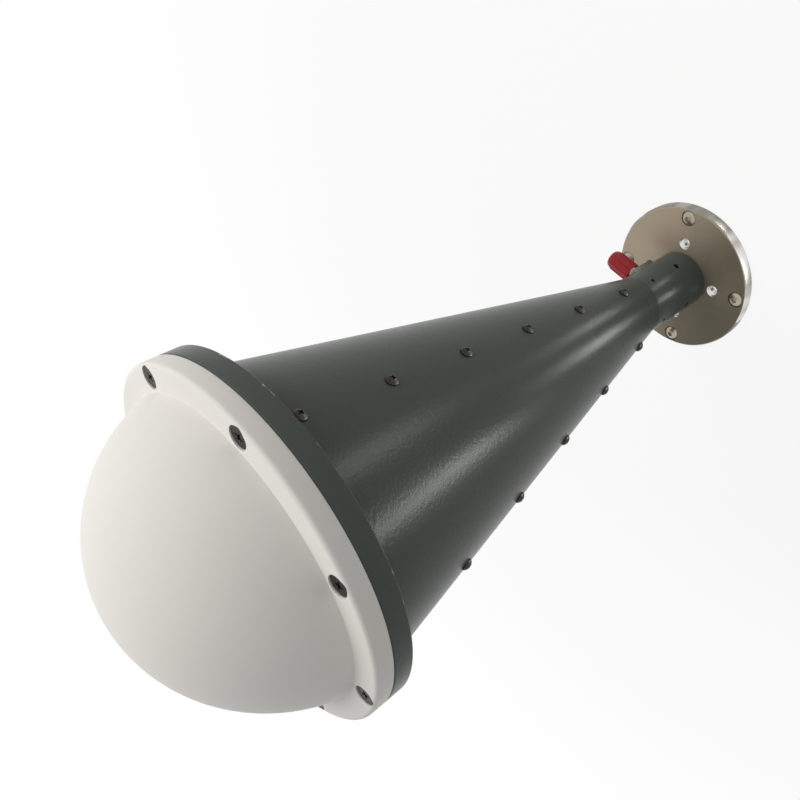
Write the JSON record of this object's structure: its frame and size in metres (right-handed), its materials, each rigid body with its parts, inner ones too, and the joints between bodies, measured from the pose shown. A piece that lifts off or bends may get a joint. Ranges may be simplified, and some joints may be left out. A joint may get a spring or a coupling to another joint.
{
  "type": "conical lens horn antenna",
  "caption": "Conical ridged horn antenna with a domed lens, a screwed aperture flange, two coaxial feeds under dust caps and a round mounting flange.",
  "frame": {"origin": "centre of the mounting flange's rear face", "axes": "+Z along the boresight towards the lens, +X out of the first feed's connector, +Y out of the second feed's connector"},
  "size_m": [0.107, 0.107, 0.2475],
  "materials": {
    "machined_aluminium": "bare turned metal, slightly dull",
    "bare_aluminium": "bare milled metal",
    "grey_paint": "satin grey paint with fine orange peel",
    "bright_steel": "bright screw steel",
    "dark_steel": "dark screw steel",
    "black_steel": "black oxide screw steel",
    "white_lens": "matte white fluoropolymer, smooth turned surface",
    "white_insulator": "white fluoropolymer",
    "jack_metal": "thin gold plating",
    "contact_gold": "gold plating",
    "red_cap": "glossy soft red plastic"
  },
  "bodies": {
    "horn": {"rear_flange": "machined_aluminium", "flange_screws": "bright_steel", "neck_screws": "dark_steel", "launcher_body": "grey_paint", "back_short": "bare_aluminium", "cone": "grey_paint", "feed_ridge_1": "bare_aluminium", "counter_ridge_1": "bare_aluminium", "feed_ridge_2": "bare_aluminium", "counter_ridge_2": "bare_aluminium", "ridge_screws": "dark_steel", "ridge_lock_screws": "black_steel", "cone_lock_screws": "black_steel", "lens": "white_lens", "lens_screws": "dark_steel", "jack_body_1": "jack_metal", "jack_insulator_1": "white_insulator", "probe_pin_1": "contact_gold", "jack_screws_1": "bright_steel", "jack_body_2": "jack_metal", "jack_insulator_2": "white_insulator", "probe_pin_2": "contact_gold", "jack_screws_2": "bright_steel"},
    "cap_1": {"dust_cap_1": "red_cap"},
    "cap_2": {"dust_cap_2": "red_cap"}
  },
  "joints": [
    {"name": "cap_1_pull", "type": "slide", "parent": "horn", "child": "cap_1", "axis": [1, 0, 0], "range_m": [0, 0.012]},
    {"name": "cap_2_pull", "type": "slide", "parent": "horn", "child": "cap_2", "axis": [0, 1, 0], "range_m": [0, 0.012]}
  ]
}
